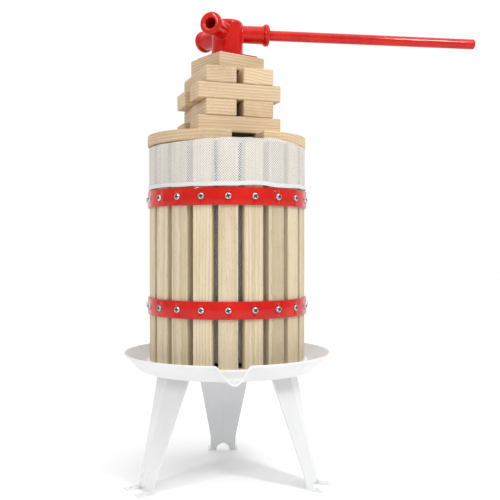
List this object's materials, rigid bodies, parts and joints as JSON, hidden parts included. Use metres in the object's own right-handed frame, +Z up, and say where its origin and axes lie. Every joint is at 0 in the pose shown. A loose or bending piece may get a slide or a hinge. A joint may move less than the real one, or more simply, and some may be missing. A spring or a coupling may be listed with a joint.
{
  "type": "basket wine press",
  "caption": "Screw press with a slatted wooden basket in red hoops, a net straining bag, a white tray on three legs, hardwood blocks and a socketed screw head with a lever.",
  "frame": {"origin": "on the floor, on the screw's axis", "axes": "+Z up along the screw, -Y towards the juice spout, the lever close to +X"},
  "size_m": [0.6723, 0.409, 0.8368],
  "materials": {
    "stave_wood": "planed bare beech, satin",
    "block_wood": "planed bare hardwood, eased edges",
    "white_enamel": "glossy white powder coat on pressed sheet",
    "zinc_steel": "bright zinc plate",
    "red_hoop": "glossy red enamel on flat steel",
    "red_enamel": "thick glossy red enamel over a casting",
    "dark_steel": "dark oiled steel with a cut thread",
    "bag_net": "white open net with a sewn hem"
  },
  "bodies": {
    "root": {"block_1_front": "block_wood", "block_1_rear": "block_wood", "block_2_left": "block_wood", "block_2_right": "block_wood", "block_3_front": "block_wood", "block_3_rear": "block_wood", "block_4_left": "block_wood", "block_4_right": "block_wood", "hoop_lower": "red_hoop", "hoop_rivets": "red_hoop", "hoop_screws_lower": "zinc_steel", "hoop_screws_upper": "zinc_steel", "hoop_upper": "red_hoop", "leg_bolts": "zinc_steel", "leg_left": "white_enamel", "leg_nuts": "zinc_steel", "leg_rear": "white_enamel", "leg_right": "white_enamel", "mesh_bag": "bag_net", "press_board_left": "block_wood", "press_board_right": "block_wood", "spindle": "dark_steel", "spindle_collar": "zinc_steel", "spindle_nut": "zinc_steel", "spindle_washer": "zinc_steel", "stave_01": "stave_wood", "stave_02": "stave_wood", "stave_03": "stave_wood", "stave_04": "stave_wood", "stave_05": "stave_wood", "stave_06": "stave_wood", "stave_07": "stave_wood", "stave_08": "stave_wood", "stave_09": "stave_wood", "stave_10": "stave_wood", "stave_11": "stave_wood", "stave_12": "stave_wood", "stave_13": "stave_wood", "stave_14": "stave_wood", "stave_15": "stave_wood", "stave_16": "stave_wood", "stave_17": "stave_wood", "stave_18": "stave_wood", "stave_19": "stave_wood", "stave_20": "stave_wood", "top_block": "block_wood", "tray": "white_enamel"},
    "plate": {"pressure_plate": "red_enamel"},
    "head": {"press_head": "red_enamel"},
    "lever": {"lever": "red_enamel", "lever_plug": "red_enamel"}
  },
  "joints": [
    {"name": "head_rise", "type": "slide", "parent": "root", "child": "plate", "axis": [0, 0, 1], "range_m": [0, 0.0401]},
    {"name": "head_turn", "type": "hinge", "parent": "plate", "child": "head", "pos_m": [0, 0, 0.8], "axis": [0, 0, 1], "range_deg": [0, 3600]},
    {"name": "lever_pull", "type": "slide", "parent": "head", "child": "lever", "axis": [0.9976, 0.0698, 0], "range_m": [0, 0.045]}
  ],
  "couplings": [
    {"joint": "head_rise", "follows": "head_turn", "m_per_rad": 0.00063662}
  ]
}
